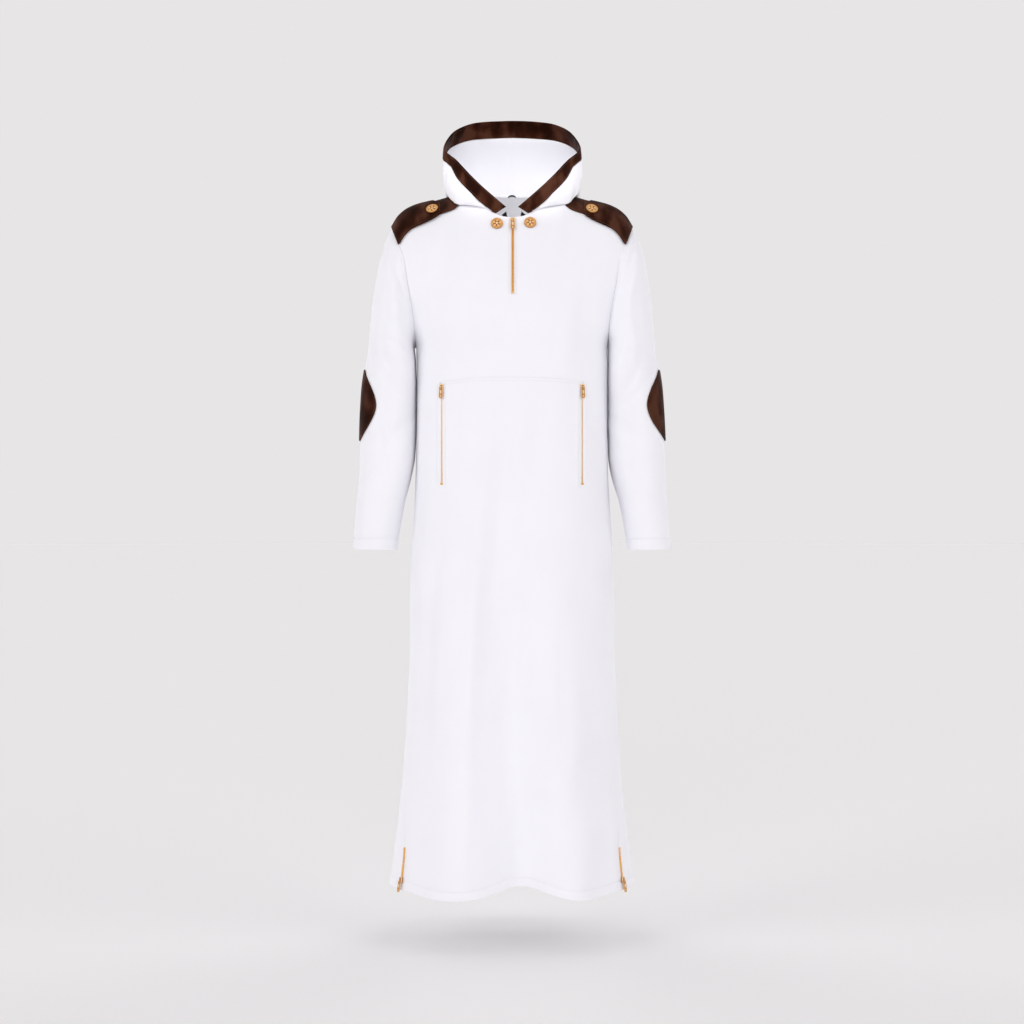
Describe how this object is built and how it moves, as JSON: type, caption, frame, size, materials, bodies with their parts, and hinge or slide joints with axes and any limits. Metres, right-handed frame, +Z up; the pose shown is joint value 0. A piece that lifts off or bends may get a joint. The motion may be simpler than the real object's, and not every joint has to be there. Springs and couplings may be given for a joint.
{
  "type": "hooded thobe robe",
  "caption": "Long white hooded thobe in heavy knit, filled out as worn with no wearer, with brown hood border, shoulder straps, epaulettes and elbow patches, gold zips and gold buttons.",
  "frame": {"origin": "middle of the neck, level with the shoulder crests", "axes": "+Z up along the garment, -Y to the front, +X to the wearer's left"},
  "size_m": [0.63, 0.3797, 1.5537],
  "materials": {
    "white_knit": "heavy smooth white knit",
    "brown_satin": "dark brown satin with a short nap",
    "gold_metal": "polished gold",
    "black_tape": "black woven tape"
  },
  "bodies": {
    "garment": {"back": "white_knit", "button_epaulette_left": "gold_metal", "button_epaulette_right": "gold_metal", "button_front_left": "gold_metal", "button_front_right": "gold_metal", "epaulette_left": "brown_satin", "epaulette_right": "brown_satin", "front": "white_knit", "hanger_loop": "black_tape", "hood_band": "brown_satin", "hood_left": "white_knit", "hood_right": "white_knit", "neck_tape_left": "black_tape", "neck_tape_right": "black_tape", "patch_left": "brown_satin", "patch_right": "brown_satin", "sleeve_left": "white_knit", "sleeve_right": "white_knit", "slider_hem_left": "gold_metal", "slider_hem_right": "gold_metal", "slider_neck": "gold_metal", "slider_pocket_left": "gold_metal", "slider_pocket_right": "gold_metal", "strap_left": "brown_satin", "strap_right": "brown_satin", "zip_hem_left": "gold_metal", "zip_hem_right": "gold_metal", "zip_neck": "gold_metal", "zip_pocket_left": "gold_metal", "zip_pocket_right": "gold_metal"},
    "tab_hem_left_body": {"tab_hem_left": "gold_metal"},
    "tab_hem_right_body": {"tab_hem_right": "gold_metal"},
    "tab_neck_body": {"tab_neck": "gold_metal"},
    "tab_pocket_left_body": {"tab_pocket_left": "gold_metal"},
    "tab_pocket_right_body": {"tab_pocket_right": "gold_metal"}
  },
  "joints": [
    {"name": "hem_left_pull_hinge", "type": "hinge", "parent": "garment", "child": "tab_hem_left_body", "pos_m": [0.2204, -0.09973, -1.33652], "axis": [-0.5969, -0.8023, 0.0012], "range_deg": [0, 170]},
    {"name": "hem_right_pull_hinge", "type": "hinge", "parent": "garment", "child": "tab_hem_right_body", "pos_m": [-0.22038, -0.0996, -1.33653], "axis": [-0.5994, 0.8004, -0.001], "range_deg": [0, 170]},
    {"name": "neck_pull_hinge", "type": "hinge", "parent": "garment", "child": "tab_neck_body", "pos_m": [0.0014, -0.07512, -0.03863], "axis": [-1, -0.0007, 0], "range_deg": [0, 170]},
    {"name": "pocket_left_pull_hinge", "type": "hinge", "parent": "garment", "child": "tab_pocket_left_body", "pos_m": [0.1391, -0.10386, -0.36982], "axis": [-0.8717, -0.49, 0], "range_deg": [0, 170]},
    {"name": "pocket_right_pull_hinge", "type": "hinge", "parent": "garment", "child": "tab_pocket_right_body", "pos_m": [-0.1391, -0.10387, -0.36982], "axis": [-0.8717, 0.49, 0], "range_deg": [0, 170]}
  ]
}
